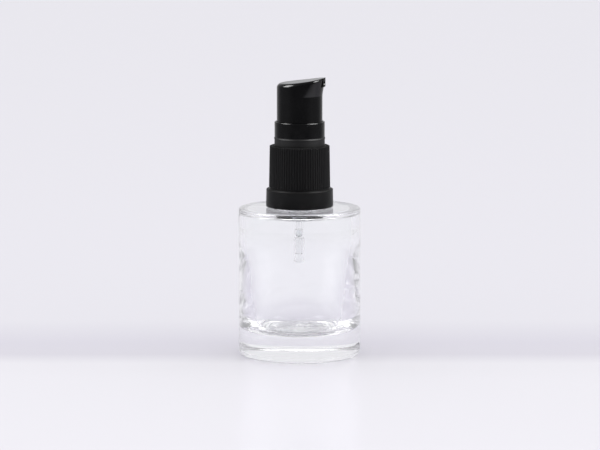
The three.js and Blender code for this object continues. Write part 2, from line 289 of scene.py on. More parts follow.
CAMERA_AZIMUTH = 12.0  # degrees round from -Y towards +X
CAMERA_PITCH = 7.93
CAMERA_DISTANCE = 1.603  # metres
CAMERA_TARGET_Z = 0.04394
CAMERA_LENS = 286.2  # millimetres, like its sensor
CAMERA_SENSOR = 36.0
CAMERA_SHIFT = 0.0006
BOX_ELEVATION = 42  # degrees
BOX_DISTANCE = 0.8  # metres
BOX_TARGET_Z = 0.08
TENT_COLOUR = (1.09, 1.08, 1.11, 1)
# The bright patches are painted highlights: they show only through the glass and light nothing.
GLASS_BOX_COLOUR = (3.5, 3.5, 3.5, 1)  # of the bright patches that show only through the glass
# Where those patches are: azimuth from the camera, elevation and spread, in degrees.
GLASS_BOXES = ((-84, 42, 34), (78, 42, 34), (0, 85, 40))
GLASS_BOUNCES = 64
FLOOR_SIZE = 4.0
FLOOR_DROP = 0.00003  # metres, so that it doesn't lie in the same plane as the bottle's bearing ring
# The floor's colour along the line of sight: its place from the front to the back of FLOOR_REACH metres, and
# its colour there. The darker stops at 0.50 and 0.52 are painted shade: a band across the floor through the
# bottle's place, fading out behind it.
FLOOR_REACH = 0.6
FLOOR_TONES = (
    (0.46, (0.92, 0.91, 0.95)),
    (0.485, (0.90, 0.89, 0.93)),
    (0.50, (0.74, 0.72, 0.79)),
    (0.52, (0.74, 0.72, 0.80)),
    (0.56, (0.85, 0.84, 0.89)),
    (0.70, (0.86, 0.85, 0.90)),
)
# The studio as the black plastic reflects it, from the camera's side at 0 to straight behind the bottle at 1.
# It is a painted reflection: the sky and the far floor show these tones only to glossy reflections.
REFLECTED_TONES = (
    (0.08, (0.09, 0.09, 0.095)),
    (0.25, (0.20, 0.20, 0.21)),
    (0.68, (0.18, 0.18, 0.19)),
    (0.90, (0.42, 0.42, 0.43)),
    (1.00, (0.70, 0.70, 0.72)),
)
# The same as the glass shows it: painted shade, darkest on the camera's side, that shows only through the
# glass.
GLASS_TONES = (
    (0.00, (0.35, 0.35, 0.36)),
    (0.35, (0.55, 0.55, 0.56)),
    (0.50, (0.84, 0.835, 0.87)),
    (1.00, (0.84, 0.835, 0.87)),
)
FAR_FLOOR = (0.22, 0.42)  # metres from the bottle over which reflections go over to those tones


# ---- Mesh helpers ----


def make_object(name, vertices, faces, sharp=math.radians(35)):
    """A smooth-shaded object from points in millimetres, with edges sharper than this angle kept sharp."""
    mesh = bpy.data.meshes.new(name)
    mesh.from_pydata([tuple(c * MM for c in v) for v in vertices], [], faces)
    mesh.validate()
    mesh.shade_smooth()
    mesh.set_sharp_from_angle(angle=sharp)
    piece = bpy.data.objects.new(name, mesh)
    bpy.context.scene.collection.objects.link(piece)
    return piece


def rounded(*corners, closed=True):
    """An outline through (radius, height) corners, where a third number rounds the corner by that radius."""
    points = [Vector(corner[:2]) for corner in corners]
    count = len(corners)
    outline = []

    def side(i, step):
        return points[(i + step) % count] - points[i % count]

    def reach(i):
        """How far a corner's rounding reaches along its two sides."""
        i %= count
        if len(corners[i]) < 3 or (not closed and i in (0, count - 1)):
            return 0
        return corners[i][2] / math.tan(side(i, -1).angle(side(i, 1)) / 2)

    def hold(i, step):
        """A point just before or after a rounding, where there is room for it."""
        room = side(i, step).length - reach(i) - reach(i + step)
        if room > HOLD:
            along = side(i, step).normalized() * (reach(i) + min(HOLD, room / 3))
            outline.append(tuple(points[i] + along))

    for i, here in enumerate(points):
        if not reach(i):
            outline.append(tuple(here))
            continue
        before, after = side(i, -1).normalized(), side(i, 1).normalized()
        radius, half = corners[i][2], before.angle(after) / 2
        centre = here + (before + after).normalized() * (radius / math.sin(half))
        start = here + before * reach(i) - centre
        turn = math.copysign(math.pi - 2 * half, -before.cross(after))
        steps = max(2, math.ceil(abs(turn) / ARC_STEP))
        first = math.atan2(start.y, start.x)
        hold(i, -1)
        for k in range(steps + 1):
            angle = first + turn * k / steps
            outline.append((centre.x + radius * math.cos(angle), centre.y + radius * math.sin(angle)))
        hold(i, 1)
    return outline


def divided(start, end, step):
    """Points along a straight stretch of outline, without its last one."""
    count = max(1, math.ceil((Vector(end) - Vector(start)).length / step))
    return [tuple(Vector(start).lerp(Vector(end), k / count)) for k in range(count)]


def turned(name, outline, segments=INNER_SEGMENTS, reshape=None):
    """An outline turned about Z. It runs up the outside and down the inside, and is closed unless it meets
    the axis. reshape(radius, height, angle) may move each point, and gives its new radius and height."""
    vertices, rows = [], []
    for r, z in outline:
        if r < ON_AXIS:
            rows.append([len(vertices)] * segments)
            vertices.append((0, 0, z))
            continue
        rows.append(range(len(vertices), len(vertices) + segments))
        for i in range(segments):
            angle = 2 * math.pi * i / segments
            radius, height = reshape(r, z, angle) if reshape else (r, z)
            vertices.append((radius * math.cos(angle), radius * math.sin(angle), height))
    pairs = list(zip(rows, rows[1:]))
    if outline[0][0] >= ON_AXIS:
        pairs.append((rows[-1], rows[0]))
    return make_object(name, vertices, list(between(pairs, segments)))


def between(pairs, count):
    """The faces between each pair of vertex loops."""
    for low, high in pairs:
        for i in range(count):
            j = (i + 1) % count
            face = tuple(dict.fromkeys((low[i], low[j], high[j], high[i])))
            if len(face) > 2:
                yield face


def skinned(name, loops, **options):
    """Loops of points, all of one length, skinned into a surface with a flat cap at each end."""
    count = len(loops[0])
    rows = [range(k * count, (k + 1) * count) for k in range(len(loops))]
    faces = list(between(zip(rows, rows[1:]), count))
    faces.append(tuple(reversed(rows[0])))
    faces.append(tuple(rows[-1]))
    return make_object(name, [p for loop in loops for p in loop], faces, **options)


def smooth_step(low, high, value):
    t = min(1.0, max(0.0, (value - low) / (high - low)))
    return t * t * (3 - 2 * t)


def ridge_rise(ridge, z, angle):
    """How far a thread's ridge stands out at this height and angle. It fades out at both ends."""
    rise = 0.0
    for turn in (angle / (2 * math.pi) + n for n in range(-1, 3)):
        if ridge.first <= turn <= ridge.last:
            off = abs(z - ridge.start_z - THREAD_PITCH * turn)
            flank = 1 - smooth_step(ridge.crest / 2, ridge.foot / 2, off)
            ends = smooth_step(0, THREAD_FADE, min(turn - ridge.first, ridge.last - turn))
            rise = max(rise, flank * ends)
    return rise * ridge.height


def ridge_rows(ridge):
    """The heights between which a thread's cylinder needs rows of points."""
    return ridge.start_z - THREAD_ROOM, ridge.start_z + THREAD_PITCH * ridge.last + THREAD_ROOM


def cut(piece, cutter):
    """Takes the cutter's shape out of the piece."""
    modifier = piece.modifiers.new("cut", "BOOLEAN")
    modifier.operation = "DIFFERENCE"
    modifier.solver = "EXACT"
    modifier.object = cutter
    depsgraph = bpy.context.evaluated_depsgraph_get()
    piece.data = bpy.data.meshes.new_from_object(piece.evaluated_get(depsgraph))
    piece.modifiers.clear()
    bpy.data.objects.remove(cutter)


def place(piece, body, slot, material, replaced):
    piece.data.materials.append(material)
    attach(piece, body)
    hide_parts(replaced)


# ---- Materials ----

NOISE_LOW, NOISE_HIGH = 0.3, 0.7  # the range that a noise texture mostly stays in


def feed(tree, socket, value):
    """Gives a socket another node's output or a constant."""
    if isinstance(value, bpy.types.NodeSocket):
        tree.links.new(value, socket)
    else:
        socket.default_value = value


def node(tree, kind, settings=None, **inputs):
    """A shader node with these settings. An input is a number, a colour, or another node's output."""
    made = tree.nodes.new(kind)
    for name, value in (settings or {}).items():
        setattr(made, name, value)
    for name, value in inputs.items():
        feed(tree, made.inputs[name.replace("_", " ")], value)
    return made


def new_material(name, **principled):
    """A material with one Principled shader, and its node tree, shader and place in the model."""
    material = bpy.data.materials.new(name)
    material.use_nodes = True
    tree = material.node_tree
    shader = tree.nodes["Principled BSDF"]
    for key, value in principled.items():
        shader.inputs[key.replace("_", " ")].default_value = value
    place_in_model = node(tree, "ShaderNodeTexCoord").outputs["Object"]
    return material, tree, shader, place_in_model


def noise(tree, vector, size_mm, detail=3.0, squeezed=(1, 1, 1)):
    """Noise with features of about this size, squeezed along an axis where that number is over 1."""
    mapped = node(tree, "ShaderNodeMapping", Vector=vector, Scale=tuple(s / (size_mm * MM) for s in squeezed))
    return node(
        tree, "ShaderNodeTexNoise", Vector=mapped.outputs["Vector"], Scale=1.0, Detail=detail
    ).outputs["Fac"]


def between_values(tree, factor, low, high):
    """A number that goes from low to high as the noise goes from its usual low to its usual high."""
    usual = {"From_Min": NOISE_LOW, "From_Max": NOISE_HIGH}
    return node(tree, "ShaderNodeMapRange", Value=factor, To_Min=low, To_Max=high, **usual).outputs["Result"]


def ramp(tree, value, stops):
    """A colour for a value from 0 to 1, through (value, colour) stops."""
    made = node(tree, "ShaderNodeValToRGB", Fac=value)
    elements = made.color_ramp.elements
    elements[0].position, elements[0].color = stops[0][0], (*stops[0][1], 1)
    elements[1].position, elements[1].color = stops[-1][0], (*stops[-1][1], 1)
    for position, colour in stops[1:-1]:
        elements.new(position).color = (*colour, 1)
    return made.outputs["Color"]


def combine(tree, operation, first, second):
    """A sum on two numbers, each of them a node's output or a constant."""
    made = node(tree, "ShaderNodeMath", {"operation": operation})
    for socket, value in zip(made.inputs, (first, second)):
        feed(tree, socket, value)
    return made.outputs["Value"]


def stretch(tree, value, low, high):
    """0 where the value is low and 1 where it is high."""
    return node(tree, "ShaderNodeMapRange", Value=value, From_Min=low, From_Max=high).outputs["Result"]


def set_bump(tree, shader, height, depth_mm):
    bump = node(tree, "ShaderNodeBump", Height=height, Strength=1.0, Distance=depth_mm * MM)
    tree.links.new(bump.outputs["Normal"], shader.inputs["Normal"])


def rougher_beyond(tree, where, roughness, start, change, axis="Z"):
    """Adds a change to the roughness beyond this place along an axis, in millimetres."""
    along = node(tree, "ShaderNodeSeparateXYZ", Vector=where).outputs[axis]
    beyond = stretch(tree, along, (start - FINISH_EDGE) * MM, (start + FINISH_EDGE) * MM)
    return combine(tree, "ADD", roughness, combine(tree, "MULTIPLY", beyond, change))


def paint(tree, shader, factor, low, high):
    """A base colour that goes from low to high as the noise does."""
    link(tree, ramp(tree, factor, ((NOISE_LOW, low), (NOISE_HIGH, high))), shader, "Base Color")


def roughen(tree, shader, factor, low, high):
    """A roughness that goes from low to high as the noise does."""
    link(tree, between_values(tree, factor, low, high), shader, "Roughness")


def link(tree, output, shader, name):
    tree.links.new(output, shader.inputs[name])


def clear_glass():
    """Flint glass whose surface is very slightly wavy, as moulded glass is."""
    material, tree, shader, where = new_material(
        "clear_glass", Transmission_Weight=1.0, IOR=1.52, Roughness=0.0
    )
    paint(tree, shader, noise(tree, where, 12), low=(0.975, 0.985, 0.98), high=(0.995, 0.998, 0.996))
    set_bump(tree, shader, noise(tree, where, 9, detail=1.0), depth_mm=0.02)
    return material


def ball_glass():
    material, tree, shader, where = new_material(
        "ball_glass", Transmission_Weight=1.0, IOR=1.5, Roughness=0.02
    )
    paint(tree, shader, noise(tree, where, 0.8), low=(0.8, 0.83, 0.84), high=(0.95, 0.97, 0.97))
    return material


def gloss_black(name):
    """Polished moulded plastic with faint sink marks and a trace of dust. Its roughness is still to be
    linked."""
    material, tree, shader, where = new_material(name, Specular_IOR_Level=0.44)
    dust = noise(tree, where, 0.5, detail=4.0)
    paint(tree, shader, dust, low=(0.0018, 0.0018, 0.002), high=(0.003, 0.003, 0.0034))
    set_bump(tree, shader, noise(tree, where, 5.0, detail=1.0), depth_mm=0.01)
    roughness = between_values(tree, noise(tree, where, 3.0), low=0.12, high=0.2)
    return material, tree, shader, where, roughness


def chaplet_black():
    """Polished down to the chaplet's ridge and left satin below it."""
    material, tree, shader, where, roughness = gloss_black("chaplet_black")
    satin = combine(tree, "ADD", roughness, POLISH)
    ridge_end = chaplet.lean_z + 0.15
    link(tree, rougher_beyond(tree, where, satin, ridge_end, -POLISH), shader, "Roughness")
    return material


def head_black():
    """Polished, but for the face that the nozzle's mouth is in."""
    material, tree, shader, where, roughness = gloss_black("head_black")
    face = nozzle.reach - FINISH_EDGE
    link(tree, rougher_beyond(tree, where, roughness, face, 2 * POLISH, "X"), shader, "Roughness")
    return material


def satin_black():
    """Moulded plastic from a spark-eroded tool: a fine, even grain. The closure's band is smoother than its
    ribs, and its top is rougher."""
    material, tree, shader, where = new_material("satin_black", Specular_IOR_Level=0.25)
    grain = noise(tree, where, 0.12, detail=2.0)
    paint(tree, shader, grain, low=(0.003, 0.003, 0.0032), high=(0.0055, 0.0055, 0.006))
    roughness = between_values(tree, noise(tree, where, 2.0), low=0.34, high=0.4)
    roughness = rougher_beyond(tree, where, roughness, closure.band_top_z - 0.35, 0.12)
    roughness = rougher_beyond(tree, where, roughness, closure.rib_end_z + 0.03, 0.35)
    link(tree, roughness, shader, "Roughness")
    set_bump(tree, shader, grain, depth_mm=0.006)
    return material


def natural_plastic():
    """Natural polypropylene: clear but milky."""
    material, tree, shader, where = new_material(
        "natural_plastic", Transmission_Weight=0.98, IOR=1.2, Specular_IOR_Level=0.5
    )
    paint(tree, shader, noise(tree, where, 1.5), low=(0.985, 0.987, 0.99), high=(0.997, 0.998, 0.998))
    roughen(tree, shader, noise(tree, where, 0.6), low=0.0, high=0.02)
    return material


def white_plastic():
    material, tree, shader, where = new_material("white_plastic", Subsurface_Weight=0.15)
    cloud = noise(tree, where, 1.2)
    paint(tree, shader, cloud, low=(0.8, 0.8, 0.78), high=(0.88, 0.88, 0.86))
    roughen(tree, shader, cloud, low=0.35, high=0.5)
    set_bump(tree, shader, noise(tree, where, 0.15), depth_mm=0.004)
    return material


def spring_steel():
    """Drawn stainless wire with faint drawing marks."""
    material, tree, shader, where = new_material("spring_steel", Metallic=1.0)
    marks = noise(tree, where, 0.3, detail=4.0, squeezed=(1, 1, 3))
    paint(tree, shader, marks, low=(0.5, 0.51, 0.53), high=(0.68, 0.69, 0.71))
    roughen(tree, shader, marks, low=0.18, high=0.34)
    return material


# ---- The bottle ----


def spline(before, start, end, after, t):
    """A number on a uniform Catmull-Rom spline, this share of the way from start to end."""
    slope = end - before
    bend = 2 * before - 5 * start + 4 * end - after
    twist = 3 * start - 3 * end + after - before
    return 0.5 * (2 * start + slope * t + bend * t**2 + twist * t**3)


def curve_through(points, steps):
    """A smooth curve through these points, with this many steps between each pair."""
    padded = [points[0], *points, points[-1]]
    curve = []
    for four in zip(padded, padded[1:], padded[2:], padded[3:]):
        for k in range(steps):
            curve.append(tuple(spline(*numbers, k / steps) for numbers in zip(*four)))
    return curve + [points[-1]]


def uneven(r, z, angle):
    """The inside of blown glass, whose wall wanders a little and is thicker on one side."""
    depth = 1 - smooth_step(WAVES_FULL, WAVES_FROM, z)
    rim = smooth_step(0, CALM, r)
    shift = WALL_SHIFT * math.cos(angle - THICK_SIDE) * rim
    waves = sum(size * math.cos(n * angle + phase + WAVE_TWIST * n * z) for n, size, phase in GLASS_WAVES)
    return r - shift + waves * rim * (WAVES_LEAST + depth), z


def rippled(r, z, angle):
    """The heel and underside of pressed glass, which are never quite even. Ripples only take glass away."""
    waves = sum(0.5 - 0.5 * math.cos(n * angle + phase + r) for n, phase in HEEL_WAVES) / len(HEEL_WAVES)
    fade = 1 - smooth_step(bottle.heel_round * 0.5, bottle.heel_round, z)
    outer = smooth_step(bottle.bearing_inner, bottle.radius, r)
    middle = smooth_step(0, bottle.push_up_flat, r)
    return r - HEEL_RIPPLE * waves * fade * outer, z + HEEL_RIPPLE * waves * middle * fade * (1 - outer)


def make_bottle(material):
    b = bottle
    wall_r, wall_z = CAVITY[0]
    flat_end = (b.push_up_flat - 1, b.push_up)
    thread_foot, thread_top = ridge_rows(glass_ridge)
    outside = divided((0, b.push_up), flat_end, 0.8)
    outside += rounded(
        flat_end,
        (b.push_up_flat, b.push_up, 1.5),
        (b.bearing_inner, 0, 1.5),
        (b.radius, 0, b.heel_round),
        (b.radius, b.shoulder_z, b.shoulder_round),
        (b.neck, b.shoulder_z, b.neck_fillet),
        (b.neck, thread_foot),
        closed=False,
    )[:-1]
    threaded = divided((b.neck, thread_foot), (b.neck, thread_top), 0.16)
    inside = rounded(
        (b.neck, thread_top),
        (b.neck, b.rim_z, b.rim_edge),
        (b.neck_bore, b.rim_z, b.rim_edge),
        (b.neck_bore, b.ceiling_z, b.mouth_flare),
        (wall_r, b.ceiling_z, b.ceiling_round),
        (wall_r, wall_z),
        closed=False,
    )
    outline = outside + threaded + inside[:-1] + curve_through(CAVITY, CAVITY_STEPS)

    def shaped(r, z, angle):
        if z < b.heel_round:
            return rippled(r, z, angle)
        if abs(r - b.neck) < CLOSE and thread_foot <= z <= thread_top:
            return r + ridge_rise(glass_ridge, z, angle), z
        within = b.inside_from_z < z < b.ceiling_z + CLOSE and r < b.inside
        return uneven(r, z, angle) if within else (r, z)

    piece = turned("bottle_glass", outline, SEGMENTS, shaped)
    place(piece, "bottle", "clear_glass", material, "glass_bottle")


# ---- The pieces that hold the pump on ----


def make_closure(material):
    c = closure
    rib_line = (c.rib_head - c.rib_foot) / (c.rib_end_z - c.rib_z)
    thread_foot, thread_top = ridge_rows(closure_ridge)
    outline = rounded(
        (c.bore, c.bottom_z, 0.25),
        (c.band_bottom, c.bottom_z, 0.2),
        (c.band, c.band_top_z, 0.25),
        (c.groove, c.band_top_z, 0.1),
        (c.groove, c.rib_z, 0.1),
        (c.rib_foot, c.rib_z + 0.1),
        closed=False,
    )[:-1]
    outline += divided((c.rib_foot, c.rib_z + 0.1), (c.rib_head, c.rib_end_z), 2.5)
    outline += rounded(
        (c.rib_head, c.rib_end_z),
        (c.top_edge, c.rib_end_z + c.rib_slope),
        (c.top_edge, c.top_z, 0.03),
        (c.recess, c.top_z, 0.05),
        (c.recess, c.top_z - c.recess_depth, 0.05),
        (c.hole, c.top_z - c.recess_depth, 0.15),
        (c.hole, c.top_z - c.panel),
        (c.bore, c.top_z - c.panel, 0.4),
        (c.bore, thread_top),
        closed=False,
    )[:-1]
    outline += divided((c.bore, thread_top), (c.bore, thread_foot), 0.2)

    def shaped(r, z, angle):
        if abs(r - c.bore) < CLOSE and z < thread_top + CLOSE:
            return r + ridge_rise(closure_ridge, z, angle), z
        if c.rib_z <= z <= c.rib_end_z + c.rib_slope and r > c.top_edge:
            valley_floor = c.rib_foot - c.rib_depth + rib_line * (z - c.rib_z)
            valley = smooth_step(*c.rib_flank, 0.5 - 0.5 * math.cos(c.ribs * angle))
            return r - max(0.0, r - valley_floor) * valley, z
        return r, z

    piece = turned("closure_shell", outline, c.ribs * c.columns_per_rib, shaped)
    place(piece, "screw_closure", "satin_black", material, "closure")


def make_chaplet(material):
    c = chaplet
    outline = rounded(
        (c.sleeve_inner, c.sleeve_z, 0.2),
        (c.sleeve_outer, c.sleeve_z, 0.2),
        (c.sleeve_outer, c.bottom_z),
        (c.foot, c.bottom_z, 0.12),
        (c.radius, c.lean_from_z, 0.05),
        (c.ridge, c.ridge_z - 0.05, 0.05),
        (c.ridge, c.ridge_z, 0.08),
        (c.radius, c.lean_z, 0.3),
        (c.radius, c.top_z, c.lip),
        (c.radius - c.wall, c.top_z, 0.1),
        (c.radius - c.wall, c.bottom_z + c.floor, 0.3),
        (c.sleeve_inner, c.bottom_z + c.floor, 0.1),
    )
    place(turned("chaplet_ring", outline, SEGMENTS), "pump", "gloss_black", material, "chaplet")


def make_gasket(material):
    bottom, top, outer = bottom_of("neck_gasket"), top_of("neck_gasket"), radius_of("neck_gasket")
    outline = rounded(
        (gasket.inner, bottom, gasket.edge),
        (outer, bottom, gasket.edge),
        (outer, top, gasket.edge),
        (gasket.inner, top, gasket.edge),
    )
    place(turned("gasket_disc", outline), "pump", "white_plastic", material, "neck_gasket")


def make_housing(material):
    h = housing
    bottom, top, flange = bottom_of("pump_housing"), top_of("pump_housing"), radius_of("pump_housing")
    outline = rounded(
        (h.nipple_bore, bottom, 0.1),
        (h.nipple, bottom, 0.3),
        (h.nipple, h.nipple_top_z, 0.1),
        (h.cage, h.nipple_top_z, 0.15),
        (h.cage, h.cage_top_z, 0.5),
        (h.chamber_foot, h.chamber_foot_z, 0.3),
        (h.chamber, h.chamber_z, 0.3),
        (h.chamber, h.plug_z),
        (h.plug, h.plug_z, 0.3),
        (h.plug, h.flange_z, 0.1),
        (flange, h.flange_z, 0.2),
        (flange, h.flange_top_z, 0.2),
        (h.collar, h.flange_top_z, 0.2),
        (h.collar, top, 0.2),
        (h.collar_bore, top, 0.15),
        (h.collar_bore, h.collar_bore_z, 0.1),
        (h.chamber_bore, h.collar_bore_z, 0.2),
        (h.chamber_bore, h.floor_z, 0.25),
        (h.floor_hole, h.floor_z, 0.2),
        (h.throat, h.throat_top_z, 0.4),
        (h.throat, h.throat_z, 0.1),
        (h.pocket, h.pocket_top_z, 0.1),
        (h.pocket, h.pocket_z, 0.1),
        (h.nipple_bore, h.seat_z, 0.1),
    )
    place(turned("pump_body", outline, h.segments), "pump", "natural_plastic", material, "pump_housing")


def make_turret(material):
    t = turret
    bottom, top, flange = bottom_of("turret_ring"), top_of("turret_ring"), radius_of("turret_ring")
    outline = rounded(
        (t.bore, bottom, 0.15),
        (t.sleeve, bottom, 0.15),
        (t.sleeve, t.sleeve_top_z, 0.1),
        (t.body, t.sleeve_top_z, 0.2),
        (t.body, top - t.flange),
        (flange, top - t.flange, 0.15),
        (flange, top, 0.25),
        (t.bore, top, 0.2),
    )
    place(turned("turret_collar", outline), "pump", "white_plastic", material, "turret_ring")


def make_dip_tube(material):
    bottom, top, outer = bottom_of("dip_tube"), top_of("dip_tube"), radius_of("dip_tube")
    outline = rounded(
        (dip_tube.bore, bottom, dip_tube.edge),
        (outer, bottom, dip_tube.edge),
        (outer, top, dip_tube.edge),
        (dip_tube.bore, top, 0.2),
    )
    place(turned("dip_sleeve", outline), "pump", "natural_plastic", material, "dip_tube")


# ---- The pieces that pump ----


def make_piston(material):
    p = piston
    low, top = bottom_of("piston"), top_of("piston")
    outline = rounded(
        (p.bore, low + p.chamfer, 0.1),
        (p.crown, low, 0.1),
        (p.waist, low + p.lip, 0.1),
        (p.tip, low, p.lip_edge),
        (p.radius, low + p.lip, 0.1),
        (p.waist, low + p.lip_root, 0.2),
        (p.waist, top - p.lip_root, 0.2),
        (p.radius, top - p.lip, 0.1),
        (p.tip, top, p.lip_edge),
        (p.waist, top - p.lip, 0.1),
        (p.crown, top, 0.1),
        (p.bore, top - p.chamfer, 0.1),
    )
    place(turned("piston_seal", outline), "pump_piston", "white_plastic", material, "piston")


def make_stem(material):
    """A pipe with two crossed slots at its foot that let the product in above the piston seat."""
    s = stem
    foot, top = bottom_of("stem"), top_of("stem")
    outline = rounded(
        (s.bore, foot, 0.05),
        (s.radius, foot, 0.05),
        (s.radius, s.collar_z),
        (s.collar, s.collar_z, 0.2),
        (s.collar, s.collar_top_z, 0.2),
        (s.radius, s.collar_top_z, 0.1),
        (s.radius, top, 0.3),
        (s.bore, top, 0.15),
    )
    piece = turned("stem_pipe", outline)
    for x, y in ((s.slot_width / 2, s.slot_reach), (s.slot_reach, s.slot_width / 2)):
        section = [(-x, -y), (x, -y), (x, y), (-x, y)]
        heights = (foot - s.slot_height, foot + s.slot_height)
        cut(piece, skinned("slot_cutter", [[(*corner, z) for corner in section] for z in heights]))
    place(piece, "plunger", "natural_plastic", material, "stem")


def make_piston_seat(material):
    s = seat
    low, top = bottom_of("piston_seat"), top_of("piston_seat")
    outline = rounded(
        (0, low),
        (s.guide, low, 0.3),
        (s.guide, s.head_z, 0.1),
        (s.head, s.head_z, 0.15),
        (s.head, s.rim_z, 0.1),
        (s.shoulder, s.shoulder_z, 0.2),
        (s.pin, s.shoulder_z, 0.1),
        (s.pin, top, s.pin_point),
        (0, top),
        closed=False,
    )
    place(turned("seat_plug", outline), "plunger", "natural_plastic", material, "piston_seat")


def make_spring(material):
    """Round wire along a helix whose end turns lie flat."""
    s = spring
    length = s.top_z - s.bottom_z
    flat = s.flat_turns / s.turns
    loops = []
    for k in range(s.steps + 1):
        t = k / s.steps
        share = min(1.0, max(0.0, (t - flat) / (1 - 2 * flat)))
        z = s.bottom_z + s.wire + share * (length - 2 * s.wire)
        angle = t * s.turns * 2 * math.pi
        loop = []
        for i in range(s.sides):
            round_wire = -2 * math.pi * i / s.sides
            r = s.radius + s.wire * math.cos(round_wire)
            loop.append((r * math.cos(angle), r * math.sin(angle), z + s.wire * math.sin(round_wire)))
        loops.append(loop)
    piece = skinned("coil_spring", loops, sharp=math.radians(60))
    place(piece, "pump", "spring_steel", material, "return_spring")
    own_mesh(piece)


def make_ball(material):
    radius = radius_of("inlet_ball")
    centre = (bottom_of("inlet_ball") + top_of("inlet_ball")) / 2
    bends = [math.pi * k / ball.steps for k in range(1, ball.steps)]
    outline = [(radius * math.sin(bend), centre - radius * math.cos(bend)) for bend in bends]
    outline = [(0, centre - radius), *outline, (0, centre + radius)]
    place(turned("valve_bead", outline, ball.segments), "valve_ball", "ball_glass", material, "inlet_ball")


# ---- The head ----


def top_at(x):
    return head.top_z + head.slope * x + head.dish * x * x


def head_angles():
    """The angles of the head's columns. They are closest at the nozzle, and the beak's corners have their
    own."""
    turns = [2 * math.pi * k / head.columns for k in range(head.columns)]
    crowded = [u - head.crowding * math.sin(u) for u in turns]
    angles = {round((u + math.pi) % (2 * math.pi) - math.pi, 6) for u in crowded}
    corner = math.atan2(nozzle.half_width, nozzle.reach)
    foot = math.asin(nozzle.half_width / (head.radius + head.flare * 0.6))
    # A pair of columns close together keeps the beak's corner sharp, and another the line where it leaves the
    # head's side.
    for extra in (corner, corner - 0.012, foot + 0.002, foot + 0.012):
        angles |= {extra, -extra}
    return sorted(angles)


def body_radius(angle, share):
    """The radius of the head's side. share is 0 at the flare line and 1 where the top edge's rounding starts.
    The flare covers a narrower angle the higher it is."""
    h = head
    start, full = (math.cos(math.radians(a - h.flare_narrows * share)) for a in (h.flare_from, h.flare_full))
    lean = smooth_step(start, full, math.cos(angle))
    return h.radius + h.flare * lean * share


def beak_radius(angle):
    """The radius of the block that the nozzle ends in: a flat face across +X, and a side parallel to X."""
    across, along = abs(math.sin(angle)), math.cos(angle)
    if along <= 0:
        return 0.0
    return min(nozzle.reach / along, nozzle.half_width / across if across > ON_AXIS else math.inf)


def head_side(angle, share):
    """A point on the head's side, and the size of the rounded edge above it."""
    h = head
    front = max(0.0, math.cos(angle))
    edge = h.edge - h.edge_loss * front**2
    if beak_radius(angle) > body_radius(angle, 1):
        edge = nozzle.edge
    brim = max(body_radius(angle, 1), beak_radius(angle))
    top = top_at(brim * math.cos(angle)) - edge
    z = h.flare_z + (top - h.flare_z) * share
    r = body_radius(angle, share)
    if beak_radius(angle) > r:
        low, high = nozzle.bottom_z - nozzle.root_edge, nozzle.bottom_z + nozzle.edge
        r += (beak_radius(angle) - r) * smooth_step(low, high, z)
    return r, z, edge


def make_head(material):
    h = head
    plain = rounded(
        (0, h.socket_z),
        (h.socket, h.socket_z, 0.2),
        (h.socket, h.boss_z, 0.15),
        (h.boss, h.boss_z, 0.2),
        (h.boss, h.cavity_z, 0.3),
        (h.cavity, h.cavity_z, 0.5),
        (h.cavity, h.skirt_z, 0.1),
        (h.radius, h.skirt_z, 0.12),
        (h.radius, h.flare_z - HOLD),
        (h.radius, h.flare_z),
        closed=False,
    )
    angles = head_angles()
    vertices, rows = [], []

    def add_row(point):
        rows.append(range(len(vertices), len(vertices) + len(angles)))
        for angle in angles:
            r, z = point(angle)
            vertices.append((r * math.cos(angle), r * math.sin(angle), z))

    def add_centre(z):
        rows.append([len(vertices)] * len(angles))
        vertices.append((0, 0, z))

    def edge_point(angle, bend):
        brim, _, edge = head_side(angle, 1)
        r = brim - edge * (1 - math.cos(bend))
        return r, top_at(r * math.cos(angle)) - edge + edge * math.sin(bend)

    def cap_point(angle, share):
        r = edge_point(angle, math.pi / 2)[0] * share
        return r, top_at(r * math.cos(angle))

    add_centre(h.socket_z)
    for point in plain[1:]:
        add_row(lambda angle, point=point: point)
    for k in range(1, h.side_rows + 1):
        add_row(lambda angle, share=k / h.side_rows: head_side(angle, share)[:2])
    for k in range(1, h.edge_rows + 1):
        add_row(lambda angle, bend=math.pi / 2 * k / h.edge_rows: edge_point(angle, bend))
    for k in range(1, h.top_rows):
        add_row(lambda angle, share=1 - k / h.top_rows: cap_point(angle, share))
    add_centre(h.top_z)
    faces = list(between(zip(rows, rows[1:]), len(angles)))
    piece = make_object("push_head", vertices, faces, math.radians(28))
    mouth_floor = nozzle.reach - nozzle.depth
    duct = (2 * nozzle.duct, 2 * nozzle.duct)
    cut(piece, slot_bar("mouth_cutter", nozzle.mouth, nozzle.z, mouth_floor, nozzle.reach + 1))
    duct_start = mouth_floor - nozzle.duct_length
    cut(piece, slot_bar("duct_cutter", duct, nozzle.duct_z, duct_start, mouth_floor + nozzle.duct / 2))
    place(piece, "push_button", "gloss_black", material, "actuator_head")


def slot_bar(name, size, z, x0, x1):
    """A bar along X with round ends to its section, this wide and high."""
    width, height = size
    end, flat = height / 2, (width - height) / 2
    loops = []
    for x in (x0, x1):
        loop = []
        for i in range(nozzle.sides):
            angle = 2 * math.pi * (i + 0.5) / nozzle.sides
            side = math.copysign(flat, math.cos(angle))
            loop.append((x, side + end * math.cos(angle), z + end * math.sin(angle)))
        loops.append(loop)
    return skinned(name, loops)


# ---- The studio ----


